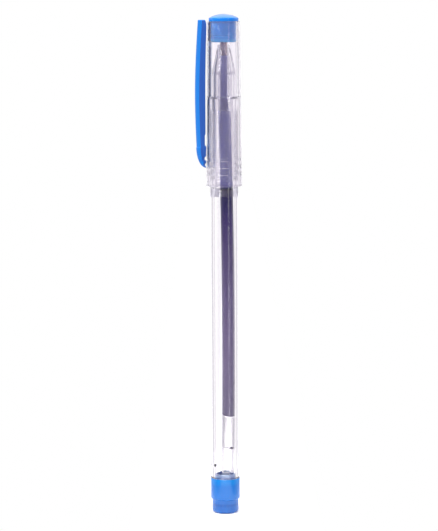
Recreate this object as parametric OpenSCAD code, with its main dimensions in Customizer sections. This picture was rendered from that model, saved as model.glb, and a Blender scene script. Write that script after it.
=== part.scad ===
/* [Barrel] */
// Outside diameter of the barrel's body
body_d = 8.2; // [8.1:0.05:8.3]
// Outside diameter of the grip, which the cap covers
grip_d = 8.4; // [8.3:0.05:8.5]
// Outside diameter of the front cylinder, before the nose cone
front_d = 6.8; // [6.6:0.1:7]
// Outside diameter of the collar round the writing point
collar_d = 3.7; // [3.6:0.05:3.8]
// Bore of the barrel's body
body_bore_d = 6.4; // [6.3:0.05:6.6]
// Bore of the grip
grip_bore_d = 5.5; // [5.4:0.05:5.7]
// Height of the nose rim above the tail face
nose_z = 140.2; // [140:0.1:140.5]
// Height of the shoulder that the cap closes against
shoulder_z = 124.9; // [124.6:0.1:125.1]
// Number of fine rings round the grip
grip_rings = 29; // [20:1:29]
// Depth of each fine ring
grip_ring_depth = 0.12; // [0.05:0.01:0.15]

/* [Tail plug] */
// Diameter of the plug's band, over which the cap posts
band_d = 8.8; // [8.7:0.02:8.8]
// Diameter of the plug's stepped foot
foot_d = 7.95; // [7.6:0.05:8.2]
// Height of the foot
foot_h = 4.4; // [3.5:0.1:5]
// Height of the plug's visible part, up to the barrel
plug_h = 10.6; // [9.8:0.1:10.9]
// Length of the spigot inside the barrel
spigot_l = 1.3; // [1:0.1:1.4]
// Radius round the foot's lower edge
foot_edge_r = 1; // [0.5:0.1:1.5]

/* [Refill] */
// Outside diameter of the ink tube
tube_d = 3.8; // [3.6:0.05:3.85]
// Bore of the ink tube
tube_bore_d = 2.8; // [2.7:0.05:2.9]
// Sideways bow of the tube at its widest
tube_bow = 1.1; // [1:0.02:1.12]
// Height where the bow is widest
bow_z = 53; // [49:1:57]
// Height of the ink's lower end
ink_low_z = 29.2; // [22.5:0.1:90]
// Length of the clear grease below the ink
follower_l = 10; // [3:0.1:10]
// Diameter of the ball in the writing point
ball_d = 0.5; // [0.4:0.1:0.7]

/* [Cap] */
// Outside diameter of the cap at its top edge
cap_top_d = 9.6; // [9.5:0.1:9.8]
// Outside diameter of the cap at its mouth
cap_mouth_d = 10.6; // [10.5:0.05:10.65]
// Bore of the cap at its mouth
cap_bore_d = 8.9; // [8.86:0.01:8.96]
// Bore of the cap at its top, which holds the plug
cap_plug_d = 7.6; // [7.5:0.05:7.7]
// Height of the cap's mouth when the pen is closed
cap_low_z = 98.55; // [98:0.05:99]
// Height of the cap's top edge when the pen is closed
cap_high_z = 146.95; // [146.85:0.05:147.2]
// Number of grooves round the cap, above its lip
cap_grooves = 3; // [1:1:3]

/* [Clip] */
// Width of the clip
clip_w = 3.6; // [3.4:0.1:4.2]
// Distance of the clip's inner face from the pen's axis, at the clip's top
clip_x = 5; // [5:0.05:5.1]
// Thickness of the clip at its top
clip_top_t = 2.6; // [2.4:0.1:2.8]
// Distance between the clip's inner plane and the fullest part of its outer face
clip_mid_t = 3.55; // [3.4:0.05:3.8]
// How far the inner face bows out at mid-height
clip_bow = 0.45; // [0.3:0.05:0.6]

/* [Hidden] */
$fn = 64;

// clearances
fit_gap = 0.05;          // running fit of a plug or pin in its bore
seat_gap = 0.05;         // between the cap's inner step and the barrel's shoulder
part_gap = 0.02;         // between pieces that are pressed or filled together

// barrel heights
tail_flare_z = 13.3;
tail_end_z = 18.5;
grip_low_z = 98;
bore_taper_l = 2.5;
ring_pitch = 0.725;
ring_high_z = 121.15;
cone_z = 132.5;
collar_z = 139.2;
front_bore_d = 4.9;
front_bore_z = 131.5;
nozzle_bore_d = 3.4;
nozzle_stop_z = 138.6;
tip_hole_d = 2.6;
vent_d = 0.9;
vent_z = 14.8;
vent_angle = 225;
gate_d = 1.7;
gate_depth = 0.25;
gate_z = 122.2;
gate_angle = -72;

// refill heights
tube_low_z = 12.3;
tube_high_z = 124.4;
adapter_low_z = 121.1;
adapter_collar_z = 124.6;
adapter_step_z = 130.3;
adapter_cone_z = 134.4;
adapter_high_z = 138.5;
adapter_d = 3.6;
adapter_neck_d = 3.2;
adapter_nozzle_d = 2.9;
adapter_spigot_d = 2.56;
feed_d = 1.4;
shank_low_z = 137;
shank_d = 2.2;
shank_high_z = 140.9;
ball_z = 143.1;
point_rim_d = ball_d + 0.24;
point_feed_d = 0.3;
bow_run = tube_high_z - bow_z;
bow_r = (bow_run * bow_run + tube_bow * tube_bow) / (2 * tube_bow);

// cap heights
cap_step_z = shoulder_z + seat_gap;
cap_plug_low_z = 140.9;
groove_pitch = 2.08;
groove_w = 0.9;
groove_depth = 0.18;
groove_low_z = 102.3;
lip_r = 0.3;
flange_d = 8.8;
flange_h = 1.05;
dome_h = 1.2;
dimple_d = 2.4;
dimple_depth = 0.45;
dimple_x = 1.2;
tip_socket_d = 3.4;
tip_socket_z = 144.7;
seal_low_z = 143.5;

// clip heights
clip_high_z = 147.5;
clip_point_z = 104;
clip_toe_z = 110.1;
clip_mid_z = 124.6;
clip_pivot_x = clip_x + 0.7;
clip_pivot_z = 143.95;
lug_w = 1.8;
lug_h = 5.2;
lug_reach = 1.2;
pip_d = 1;
pip_w = 2.8;
pocket_gap = 0.1;
pocket_end_gap = 0.3;
channel_low_z = 114.3;
channel_high_z = 139.3;
channel_depth = 2;

function cap_outer_r(z) = cap_top_d / 2 + (cap_mouth_d - cap_top_d) / 2
    * (cap_high_z - z) / (cap_high_z - cap_low_z);

// points of an arc about c, from angle a to angle b
function arc(c, r, a, b, n = 8) =
    [for (i = [0 : n]) c + r * [cos(a + (b - a) * i / n), sin(a + (b - a) * i / n)]];

// solid of revolution about the pen's axis
module turned(points) {
    rotate_extrude($fn = 96)
        polygon(points);
}

// rod along the refill's bowed centre line, from height low to height high
module bowed_rod(d, low, high) {
    a = asin((low - bow_z) / bow_r);
    b = asin((high - bow_z) / bow_r);
    translate([tube_bow - bow_r, 0, bow_z])
        rotate([90, 0, 0])
            rotate([0, 0, a])
                rotate_extrude(angle = b - a, $fn = 5000)
                    translate([bow_r, 0])
                        circle(d = d, $fn = 48);
}

// clear barrel: tail, body, ringed grip, front cylinder, nose cone and collar in one moulding
module barrel() {
    ring_low_z = ring_high_z - grip_rings * ring_pitch;
    rings = [for (i = [0 : grip_rings - 1], p = [
                [grip_d / 2, 0],
                [grip_d / 2 - grip_ring_depth, 0.3],
                [grip_d / 2 - grip_ring_depth, 0.45],
                [grip_d / 2, 0.6]])
            p + [0, ring_low_z + i * ring_pitch]];
    outside = concat(
        [[band_d / 2, plug_h], [band_d / 2, tail_flare_z], [body_d / 2, tail_end_z],
         [body_d / 2, grip_low_z], [grip_d / 2, grip_low_z + 1]],
        rings,
        [[grip_d / 2, shoulder_z], [front_d / 2, shoulder_z], [front_d / 2, cone_z],
         [collar_d / 2 + 0.1, collar_z], [collar_d / 2, collar_z], [collar_d / 2, nose_z]]);
    inside = [
        [tip_hole_d / 2, nose_z], [tip_hole_d / 2, nozzle_stop_z],
        [nozzle_bore_d / 2, nozzle_stop_z], [nozzle_bore_d / 2, nozzle_stop_z - 1],
        [front_bore_d / 2, front_bore_z], [front_bore_d / 2, shoulder_z],
        [grip_bore_d / 2, shoulder_z - 0.5], [grip_bore_d / 2, grip_low_z],
        [body_bore_d / 2, grip_low_z - bore_taper_l], [body_bore_d / 2, plug_h]];
    color([0.94, 0.95, 0.97, 0.35])
        difference() {
            turned(concat(outside, inside));
            // vent hole through the wall, above the tail plug
            translate([0, 0, vent_z])
                rotate([0, 90, vent_angle])
                    cylinder(d = vent_d, h = band_d, $fn = 24);
            // round gate dimple on the grip
            rotate([0, 0, gate_angle])
                translate([grip_d / 2 + gate_d - gate_depth, 0, gate_z])
                    sphere(r = gate_d, $fn = 48);
        }
}

// blue tail plug: foot, band, and the spigot that closes the barrel
module tail_plug() {
    spigot_r = body_bore_d / 2 - fit_gap;
    top_z = plug_h + spigot_l;
    hollow_r = 2.45;
    hollow_z = 2.6;
    color([0.27, 0.56, 0.92, 0.9])
        turned(concat(
            [[0, 0]],
            arc([foot_d / 2 - foot_edge_r, foot_edge_r], foot_edge_r, -90, 0),
            [[foot_d / 2, foot_h - 0.3], [band_d / 2, foot_h], [band_d / 2, plug_h],
             [spigot_r, plug_h], [spigot_r, top_z - 0.4], [spigot_r - 0.4, top_z],
             [hollow_r, top_z], [hollow_r, hollow_z], [0, hollow_z]]));
}

// clear ink tube, bowed a little to one side inside the barrel
module refill_tube() {
    color([0.9, 0.9, 0.95, 0.4])
        difference() {
            bowed_rod(tube_d, tube_low_z, tube_high_z);
            bowed_rod(tube_bore_d, tube_low_z - 1, tube_high_z + 1);
        }
}

// gel ink: the column in the tube and the thread that feeds the point
module gel_ink() {
    column_high_z = adapter_low_z - 0.1;
    color([0.27, 0.22, 0.42])
        union() {
            bowed_rod(tube_bore_d - 2 * part_gap, ink_low_z, column_high_z);
            translate([0, 0, column_high_z - 1])
                cylinder(d = feed_d - 2 * part_gap, h = shank_low_z - column_high_z + 1 - part_gap);
        }
}

// clear grease that follows the ink down the tube
module ink_follower() {
    color([0.92, 0.93, 0.88, 0.5])
        bowed_rod(tube_bore_d - 2 * part_gap, ink_low_z - follower_l, ink_low_z - 2 * part_gap);
}

// plastic holder between the ink tube and the metal point
module tip_adapter() {
    color([0.88, 0.88, 0.95, 0.5])
        turned([
            [feed_d / 2, adapter_low_z], [adapter_spigot_d / 2, adapter_low_z],
            [adapter_spigot_d / 2, adapter_collar_z], [adapter_d / 2, adapter_collar_z],
            [adapter_d / 2, adapter_step_z], [adapter_neck_d / 2, adapter_step_z],
            [adapter_neck_d / 2, adapter_cone_z], [adapter_nozzle_d / 2, adapter_cone_z + 2.5],
            [adapter_nozzle_d / 2, adapter_high_z], [shank_d / 2, adapter_high_z],
            [shank_d / 2, shank_low_z], [feed_d / 2, shank_low_z]]);
}

// metal writing point: shank, cone and the socket that holds the ball
module tip_cone() {
    shank_r = shank_d / 2 - part_gap;
    color([0.80, 0.70, 0.64])
        difference() {
            turned([
                [0, shank_low_z], [shank_r, shank_low_z], [shank_r, shank_high_z],
                [point_rim_d / 2, ball_z], [0, ball_z]]);
            translate([0, 0, shank_low_z - 1])
                cylinder(d = point_feed_d, h = ball_z - shank_low_z + 1, $fn = 24);
            translate([0, 0, ball_z])
                sphere(d = ball_d + 2 * part_gap, $fn = 32);
        }
}

// the ball that rolls the ink out
module tip_ball() {
    color([0.6, 0.6, 0.62])
        translate([0, 0, ball_z])
            sphere(d = ball_d, $fn = 32);
}

// clear cap: tapered tube with grooves round its mouth and the lug that carries the clip
module cap_shell() {
    grooves = [for (i = [0 : cap_grooves - 1], p = [-1 : 0.25 : 1])
        let (z = groove_low_z + i * groove_pitch + p * groove_w / 2)
            [cap_outer_r(z) - groove_depth * (1 - p * p), z]];
    outside = concat(
        [[cap_outer_r(cap_low_z) - lip_r, cap_low_z], [cap_outer_r(cap_low_z), cap_low_z + lip_r]],
        grooves,
        [[cap_outer_r(cap_high_z), cap_high_z]]);
    inside = [
        [cap_plug_d / 2, cap_high_z], [cap_plug_d / 2, cap_plug_low_z],
        [cap_plug_d / 2 + 0.15, cap_step_z], [cap_bore_d / 2 - 0.1, cap_step_z],
        [cap_bore_d / 2, cap_low_z]];
    lug_low_x = cap_plug_d / 2 + 0.5;
    lug_l = clip_x + lug_reach - lug_low_x;
    color([0.93, 0.90, 0.95, 0.35])
        union() {
            turned(concat(outside, inside));
            translate([-lug_low_x - lug_l, -lug_w / 2, clip_pivot_z - lug_h / 2])
                cube([lug_l, lug_w, lug_h]);
            translate([-clip_pivot_x, pip_w / 2, clip_pivot_z])
                rotate([90, 0, 0])
                    cylinder(d = pip_d, h = pip_w, $fn = 32);
        }
}

// blue cap plug: domed head, flange, ringed body and the socket over the writing point
module cap_plug() {
    body_r = cap_plug_d / 2 - part_gap;
    head_r = flange_d / 2;
    flange_top_z = cap_high_z + flange_h;
    dome_r = (head_r * head_r + dome_h * dome_h) / (2 * dome_h);
    dome_a = acos(head_r / dome_r);
    groove_z = 142.7;
    color([0.16, 0.50, 0.90, 0.9])
        difference() {
            turned(concat(
                [[0, cap_plug_low_z], [body_r - 0.3, cap_plug_low_z], [body_r, cap_plug_low_z + 0.4],
                 [body_r, groove_z - 0.25], [body_r - 0.12, groove_z - 0.1],
                 [body_r - 0.12, groove_z + 0.1], [body_r, groove_z + 0.25],
                 [body_r, cap_high_z], [head_r, cap_high_z]],
                arc([0, flange_top_z + dome_h - dome_r], dome_r, dome_a, 90, 10)));
            translate([0, 0, cap_plug_low_z - 1])
                cylinder(d = tip_socket_d, h = tip_socket_z - cap_plug_low_z + 1);
            // round gate dimple on the dome, off its middle
            translate([dimple_x, 0, flange_top_z + dome_h - dimple_depth])
                cylinder(d = dimple_d, h = 1);
        }
}

// soft pad in the plug's socket that keeps the point from drying
module tip_seal() {
    color([0.85, 0.87, 0.90])
        translate([0, 0, seal_low_z])
            cylinder(d = tip_socket_d - 2 * part_gap, h = tip_socket_z - seal_low_z);
}

// blue clip: side outline given a width, cored out behind, with a pocket for the cap's lug
module clip() {
    toe_x = 0.4;
    outline = concat(
        [[-clip_x, clip_high_z - 1.3], [-clip_x - 0.4, clip_high_z],
         [-clip_x - clip_top_t, clip_high_z]],
        // outer edge, fullest at clip_mid_z
        [for (t = [1 / 6 : 1 / 6 : 1])
            [-clip_x - clip_top_t - (clip_mid_t - clip_top_t) * sin(90 * t),
             clip_high_z + (clip_mid_z - clip_high_z) * t]],
        [[-clip_x - clip_mid_t + 0.1, 115.7]],
        // rounded toe
        [for (a = [0 : 10 : 80])
            [-clip_x - toe_x - (clip_mid_t - 0.7) * cos(a),
             clip_toe_z - (clip_toe_z - clip_point_z) * sin(a)]],
        [[-clip_x - toe_x, clip_point_z],
         // notch, bump, notch and shallow recess along the inner edge
         [-clip_x - 0.35, 104.3], [-clip_x - 0.65, 104.6], [-clip_x - 0.65, 105],
         [-clip_x - 0.32, 105.5], [-clip_x - 0.32, 106], [-clip_x - 0.75, 106.4],
         [-clip_x - 0.75, 107], [-clip_x - 0.32, 107.6], [-clip_x - 0.27, 110.2],
         [-clip_x - 0.65, 110.7], [-clip_x - 0.65, 113.6], [-clip_x - clip_bow, 114.1]],
        // inner edge, bowed like the outer one
        [for (t = [1 : -1 / 6 : 1 / 6])
            [-clip_x - clip_bow * sin(90 * t), clip_high_z + (clip_mid_z - clip_high_z) * t]]);
    pocket_w = lug_w + 2 * pocket_gap;
    pocket_depth = lug_reach + pocket_end_gap;
    color([0.10, 0.47, 0.90])
        difference() {
            translate([0, clip_w / 2, 0])
                rotate([90, 0, 0])
                    linear_extrude(clip_w)
                        polygon(outline);
            translate([-clip_x - channel_depth, -pocket_w / 2, channel_low_z])
                cube([channel_depth + 1, pocket_w, channel_high_z - channel_low_z]);
            translate([-clip_x - pocket_depth, -pocket_w / 2,
                       clip_pivot_z - lug_h / 2 - pocket_end_gap])
                cube([pocket_depth + 1, pocket_w, lug_h + 2 * pocket_end_gap]);
            translate([-clip_pivot_x, (pip_w + pocket_gap) / 2, clip_pivot_z])
                rotate([90, 0, 0])
                    cylinder(d = pip_d + 2 * fit_gap, h = pip_w + pocket_gap, $fn = 32);
        }
}

barrel();
tail_plug();
refill_tube();
gel_ink();
ink_follower();
tip_adapter();
tip_cone();
tip_ball();
cap_shell();
cap_plug();
tip_seal();
clip();
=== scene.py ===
# %% [markdown]
# # A capped gel pen
# This notebook dresses a gel pen. The engineering model already fixes where every piece is and how it moves,
# so each cell below only rebuilds one visible piece as a finer mesh, gives it a finish, and says which
# engineering piece it stands for. All drawing is done in millimetres and turned into metres at the very end,
# because a pen is easier to think about in millimetres.

# %% Load the engineering model
import math
import bmesh
import bpy
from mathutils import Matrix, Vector


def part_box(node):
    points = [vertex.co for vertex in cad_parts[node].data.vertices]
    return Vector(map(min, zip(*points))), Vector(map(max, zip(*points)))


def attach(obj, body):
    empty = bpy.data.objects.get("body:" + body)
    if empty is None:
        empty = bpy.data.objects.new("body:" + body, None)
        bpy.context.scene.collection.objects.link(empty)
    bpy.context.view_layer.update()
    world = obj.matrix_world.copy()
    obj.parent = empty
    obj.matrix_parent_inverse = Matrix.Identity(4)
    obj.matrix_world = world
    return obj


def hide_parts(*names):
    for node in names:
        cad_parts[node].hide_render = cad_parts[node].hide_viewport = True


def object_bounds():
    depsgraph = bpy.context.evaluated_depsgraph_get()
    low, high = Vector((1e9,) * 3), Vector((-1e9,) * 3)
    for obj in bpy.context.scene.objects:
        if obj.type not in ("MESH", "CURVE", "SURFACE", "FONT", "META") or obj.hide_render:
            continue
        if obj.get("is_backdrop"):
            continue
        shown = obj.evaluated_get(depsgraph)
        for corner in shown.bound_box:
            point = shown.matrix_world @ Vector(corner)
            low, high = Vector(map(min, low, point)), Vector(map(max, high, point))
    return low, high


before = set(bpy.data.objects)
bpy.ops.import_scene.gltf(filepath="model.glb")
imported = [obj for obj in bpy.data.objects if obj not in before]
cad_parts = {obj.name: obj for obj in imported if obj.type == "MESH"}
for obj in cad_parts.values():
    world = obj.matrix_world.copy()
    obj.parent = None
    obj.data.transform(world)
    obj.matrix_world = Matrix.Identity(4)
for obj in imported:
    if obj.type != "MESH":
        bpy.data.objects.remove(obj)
cad_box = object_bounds()
MM = 0.001


def span_mm(node):
    """Lowest and highest corner of an engineering piece, in millimetres."""
    low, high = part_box(node)
    return low / MM, high / MM


for name in sorted(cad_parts):
    low, high = span_mm(name)
    print(f"{name}: {high.x - low.x:.2f} x {high.y - low.y:.2f} mm, height {low.z:.2f} to {high.z:.2f} mm")

# %% [markdown]
# ## The camera
# A product picture of a pen is taken with a long lens from far away, so the pen's sides stay parallel. The
# camera stands a little above the middle of the pen and looks down by a few degrees, which is what turns the
# round edges into shallow ellipses. It could stand closer with a wide lens, but then the cap would look bigger
# than the tail. The pen stands a touch to the right of the middle, and leans by a hair.

# %% Place the camera
SCENE = bpy.context.scene
CAMERA_DISTANCE = 580 * MM
CAMERA_HEIGHT = 139.5 * MM
AIM_HEIGHT = 74.8 * MM
AIM_SIDE = -1.65 * MM
LEAN = math.radians(0.25)

lens_data = bpy.data.cameras.new("long_lens")
lens_data.lens = 132.7
lens_data.sensor_width = 36
lens_data.clip_start = 0.01
camera = bpy.data.objects.new("camera", lens_data)
SCENE.collection.objects.link(camera)
camera.location = (AIM_SIDE, -CAMERA_DISTANCE, CAMERA_HEIGHT)
view = Vector((AIM_SIDE, 0, AIM_HEIGHT)) - camera.location
camera.rotation_euler = view.to_track_quat("-Z", "Y").to_euler()
camera.rotation_euler.rotate_axis("Z", -LEAN)
SCENE.camera = camera
print(f"camera looks down by {math.degrees(math.atan2(-view.z, view.y)):.1f} degrees")

# %% [markdown]
# ## The light
# Clear plastic has almost no colour of its own: what shows is the light round it, bent and mirrored. A plain
# white room would make the pen vanish. So the room is white behind the pen, violet and much dimmer on the side
# of the camera, and bright at the ceiling. Two soft grey zones at the sides draw the thin lines along the
# edges of the glass-clear walls, and a grey rail just above the horizon draws the steps across them. The room
# could be a picture wrapped round the scene, but a few soft steps in a world shader say the same with numbers
# that can be changed. Of the three lamps, the wide one overhead is what the grooves of the cap mirror.


# %% A short way to write shader nodes
def add_node(tree, kind, settings=None, **inputs):
    """Adds a shader node. A setting is an attribute, an input is a number or another node's output."""
    made = tree.nodes.new(kind)
    for key, value in (settings or {}).items():
        setattr(made, key, value)
    for key, value in inputs.items():
        wanted = key.replace("_", " ")
        socket = made.inputs[int(key[1:])] if key[0] == "i" and key[1:].isdigit() else made.inputs[wanted]
        if isinstance(value, bpy.types.NodeSocket):
            tree.links.new(value, socket)
        else:
            socket.default_value = value
    return made


def soft_step(tree, value, start, end, low=0.0, high=1.0):
    """A smooth change from low to high as value goes from start to end."""
    step = add_node(tree, "ShaderNodeMapRange", {"interpolation_type": "SMOOTHSTEP"}, Value=value)
    for key, number in (("From Min", start), ("From Max", end), ("To Min", low), ("To Max", high)):
        step.inputs[key].default_value = number
    return step.outputs["Result"]


def colour_mix(tree, factor, first, second):
    """Mixes two colours by a factor from 0 to 1."""
    mix = add_node(tree, "ShaderNodeMix", {"data_type": "RGBA"})
    for index, value in ((0, factor), (6, first), (7, second)):
        if isinstance(value, bpy.types.NodeSocket):
            tree.links.new(value, mix.inputs[index])
        elif index == 0:
            mix.inputs[index].default_value = value
        else:
            mix.inputs[index].default_value = (*value, 1)
    return mix.outputs[2]


def maths(tree, operation, first, second=0.0):
    """One arithmetic step."""
    return add_node(tree, "ShaderNodeMath", {"operation": operation}, i0=first, i1=second).outputs[0]


# %% Paint the room
room = bpy.data.worlds.new("studio")
SCENE.world = room
room.use_nodes = True
room_tree = room.node_tree
room_tree.nodes.clear()
direction = add_node(room_tree, "ShaderNodeTexCoord").outputs["Generated"]
side = add_node(room_tree, "ShaderNodeSeparateXYZ", Vector=direction)
across = maths(room_tree, "ABSOLUTE", side.outputs["X"])
ahead = side.outputs["Y"]
up = side.outputs["Z"]
CAMERA_WALL = (0.16, 0.13, 0.32)
BACK_WALL = (1.14, 1.12, 1.14)
EDGE_GREY = (0.58, 0.56, 0.63)
RAIL_GREY = (0.45, 0.43, 0.52)
CEILING = (1.25, 1.22, 1.36)
behind_pen = soft_step(room_tree, ahead, -0.55, 0.35)
walls = colour_mix(room_tree, behind_pen, CAMERA_WALL, BACK_WALL)
edge_zone = maths(room_tree, "MULTIPLY", soft_step(room_tree, across, 0.30, 0.48),
                  soft_step(room_tree, across, 0.62, 0.86, 1.0, 0.0))
edge_zone = maths(room_tree, "MULTIPLY", edge_zone, soft_step(room_tree, ahead, 0.2, 0.6))
walls = colour_mix(room_tree, edge_zone, walls, EDGE_GREY)
grey_rail = maths(room_tree, "MULTIPLY", soft_step(room_tree, up, 0.04, 0.09),
                  soft_step(room_tree, ahead, 0.0, 0.3))
walls = colour_mix(room_tree, grey_rail, walls, RAIL_GREY)
overhead = soft_step(room_tree, up, 0.22, 0.50)
walls = colour_mix(room_tree, overhead, walls, CEILING)
lit_room = add_node(room_tree, "ShaderNodeBackground", Color=walls, Strength=1.0)
seen_room = add_node(room_tree, "ShaderNodeBackground", Color=(1, 1, 1, 1), Strength=1.0)
seen = add_node(room_tree, "ShaderNodeLightPath").outputs["Is Camera Ray"]
both = add_node(room_tree, "ShaderNodeMixShader", Fac=seen)
room_tree.links.new(lit_room.outputs[0], both.inputs[1])
room_tree.links.new(seen_room.outputs[0], both.inputs[2])
add_node(room_tree, "ShaderNodeOutputWorld", Surface=both.outputs[0])
print("room painted with", len(room_tree.nodes), "nodes")

# %% Hang the lamps
LAMP_AIM = Vector((0, 0, 75)) * MM


def soft_lamp(name, place_mm, width_mm, height_mm, watts):
    """A rectangular soft lamp that looks at the middle of the pen."""
    data = bpy.data.lights.new(name, "AREA")
    data.shape = "RECTANGLE"
    data.size = width_mm * MM
    data.size_y = height_mm * MM
    data.energy = watts
    lamp = bpy.data.objects.new(name, data)
    SCENE.collection.objects.link(lamp)
    lamp.location = Vector(place_mm) * MM
    lamp.rotation_euler = (LAMP_AIM - lamp.location).to_track_quat("-Z", "Y").to_euler()
    print(f"{name}: {width_mm} x {height_mm} mm, {watts} W")


soft_lamp("overhead_softbox", (-60, -260, 900), 700, 300, 6.0)
soft_lamp("right_strip", (400, -520, 160), 40, 620, 0.4)
soft_lamp("front_softbox", (-430, -430, 520), 300, 300, 2.5)

# %% [markdown]
# ## Finishes that several pieces share
# Three effects come back on many pieces, so each is a node group with named inputs. `moulded_skin` is the
# slight waviness and fine texture that a moulded surface has. `handling` is wear: fine rubbed scratches and
# smudges that change the roughness. `along_pen` says how high on the pen a point is, from 0 to 1, for finishes
# that fade along it. Groups put out only values, and the shader stays in each material.


# %% Helpers that build node groups
def new_group(name, inputs, outputs):
    """An empty shader node group. Inputs and outputs are (name, kind, value)."""
    tree = bpy.data.node_groups.new(name, "ShaderNodeTree")
    for direction_name, sockets in (("INPUT", inputs), ("OUTPUT", outputs)):
        for label, kind, value in sockets:
            socket = tree.interface.new_socket(label, in_out=direction_name, socket_type=kind)
            if value is not None:
                socket.default_value = value
    start = tree.nodes.new("NodeGroupInput")
    end = tree.nodes.new("NodeGroupOutput")
    return tree, start.outputs, end.inputs


def place_group(tree, group, **inputs):
    """Puts a node group into a material's tree."""
    holder = add_node(tree, "ShaderNodeGroup", {"node_tree": group})
    for key, value in inputs.items():
        socket = holder.inputs[key.replace("_", " ")]
        if isinstance(value, bpy.types.NodeSocket):
            tree.links.new(value, socket)
        else:
            socket.default_value = value
    return holder.outputs


FLOAT = "NodeSocketFloat"

# %% Group: moulded skin
moulded_skin, skin_in, skin_out = new_group(
    "moulded_skin",
    [("Wave Size", FLOAT, 300.0), ("Grain Size", FLOAT, 9000.0), ("Grain Share", FLOAT, 0.2)],
    [("Height", FLOAT, None), ("Flow", FLOAT, None)])
place_on_piece = add_node(moulded_skin, "ShaderNodeTexCoord").outputs["Object"]
drawn_out = add_node(moulded_skin, "ShaderNodeMapping", Vector=place_on_piece, Scale=(1, 1, 0.25)).outputs[0]
wave = add_node(moulded_skin, "ShaderNodeTexNoise", Vector=drawn_out, Scale=skin_in["Wave Size"], Detail=2.0)
grain = add_node(moulded_skin, "ShaderNodeTexNoise", Vector=place_on_piece, Scale=skin_in["Grain Size"],
                 Detail=3.0)
grain_part = maths(moulded_skin, "MULTIPLY", grain.outputs["Fac"], skin_in["Grain Share"])
moulded_skin.links.new(maths(moulded_skin, "ADD", wave.outputs["Fac"], grain_part), skin_out["Height"])
moulded_skin.links.new(wave.outputs["Fac"], skin_out["Flow"])
print("moulded_skin has", len(moulded_skin.nodes), "nodes")

# %% Group: handling
handling, handling_in, handling_out = new_group(
    "handling",
    [("Smudge Size", FLOAT, 120.0), ("Scratch Size", FLOAT, 2500.0), ("Amount", FLOAT, 0.5)],
    [("Wear", FLOAT, None), ("Sharp Edge", FLOAT, None)])
touched = add_node(handling, "ShaderNodeTexCoord").outputs["Object"]
smudge = add_node(handling, "ShaderNodeTexNoise", Vector=touched, Scale=handling_in["Smudge Size"], Detail=4.0)
along_rub = add_node(handling, "ShaderNodeMapping", Vector=touched, Scale=(1, 1, 0.05)).outputs[0]
scratch = add_node(handling, "ShaderNodeTexNoise", Vector=along_rub, Scale=handling_in["Scratch Size"],
                   Detail=2.0)
smudge_mask = soft_step(handling, smudge.outputs["Fac"], 0.45, 0.7)
scratch_mask = soft_step(handling, scratch.outputs["Fac"], 0.62, 0.72)
rub = maths(handling, "MAXIMUM", smudge_mask, scratch_mask)
handling.links.new(maths(handling, "MULTIPLY", rub, handling_in["Amount"]), handling_out["Wear"])
# Sharp convex edges, found by pointiness; the blue plastics mix a lighter blue onto them.
pointy = add_node(handling, "ShaderNodeNewGeometry").outputs["Pointiness"]
edge_mask = soft_step(handling, pointy, 0.52, 0.60)
handling.links.new(maths(handling, "MULTIPLY", edge_mask, handling_in["Amount"]), handling_out["Sharp Edge"])
print("handling has", len(handling.nodes), "nodes")

# %% Group: along the pen
along_pen, along_in, along_out = new_group(
    "along_pen", [("Low", FLOAT, 0.0), ("High", FLOAT, 0.1)], [("Height Share", FLOAT, None)])
own_place = add_node(along_pen, "ShaderNodeTexCoord").outputs["Object"]
own_height = add_node(along_pen, "ShaderNodeSeparateXYZ", Vector=own_place).outputs["Z"]
share = add_node(along_pen, "ShaderNodeMapRange", Value=own_height)
along_pen.links.new(along_in["Low"], share.inputs["From Min"])
along_pen.links.new(along_in["High"], share.inputs["From Max"])
along_pen.links.new(share.outputs["Result"], along_out["Height Share"])
print("along_pen has", len(along_pen.nodes), "nodes")


# %% Start of every material
def new_finish(name):
    """A material with only its shader, and what the later cells need of it."""
    made = bpy.data.materials.new(name)
    made.use_nodes = True
    tree = made.node_tree
    shader = tree.nodes["Principled BSDF"]
    return made, tree, shader


def set_shader(shader, **values):
    """Sets constant numbers and colours on the shader's own sockets."""
    for key, value in values.items():
        socket = shader.inputs[key.replace("_", " ")]
        socket.default_value = (*value, 1) if socket.type == "RGBA" else value


def bump(tree, shader, height, strength, depth_mm):
    """Small relief from a height value."""
    relief = add_node(tree, "ShaderNodeBump", Height=height, Strength=strength, Distance=depth_mm * MM)
    tree.links.new(relief.outputs["Normal"], shader.inputs["Normal"])


# %% [markdown]
# ## Clear plastics
# The barrel and the cap are clear polystyrene, which bends light strongly. The ink tube and the point's holder
# are polypropylene, softer and a little milky. Real glass shading is the honest way: the walls then bend what
# is behind them, and their edges darken by themselves. A see-through mix would be faster and would look
# like film. Each is tinted by a very faint flow pattern. The cap is handled most, so it lets a little less
# light straight through than the rest, which gives it a slight haze.


# %% Clear plastic finish
def clear_plastic(name, tint, deep_tint, ior, rough, wear, wave_mm, clear=1.0):
    """A glass-clear moulded plastic with faint flow marks, smudges and hairline scratches."""
    made, tree, shader = new_finish(name)
    skin = place_group(tree, moulded_skin, Wave_Size=260.0, Grain_Size=7000.0, Grain_Share=0.05)
    worn = place_group(tree, handling, Smudge_Size=180.0, Scratch_Size=2600.0, Amount=wear)
    colour = colour_mix(tree, skin["Flow"], tint, deep_tint)
    tree.links.new(colour, shader.inputs["Base Color"])
    roughness = soft_step(tree, worn["Wear"], 0.0, 1.0, rough, rough + 0.10)
    tree.links.new(roughness, shader.inputs["Roughness"])
    bump(tree, shader, skin["Height"], 0.35, wave_mm)
    set_shader(shader, Transmission_Weight=clear, IOR=ior, Metallic=0.0)
    print(f"{name}: glass-clear, bends light by {ior}")
    return made


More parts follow.
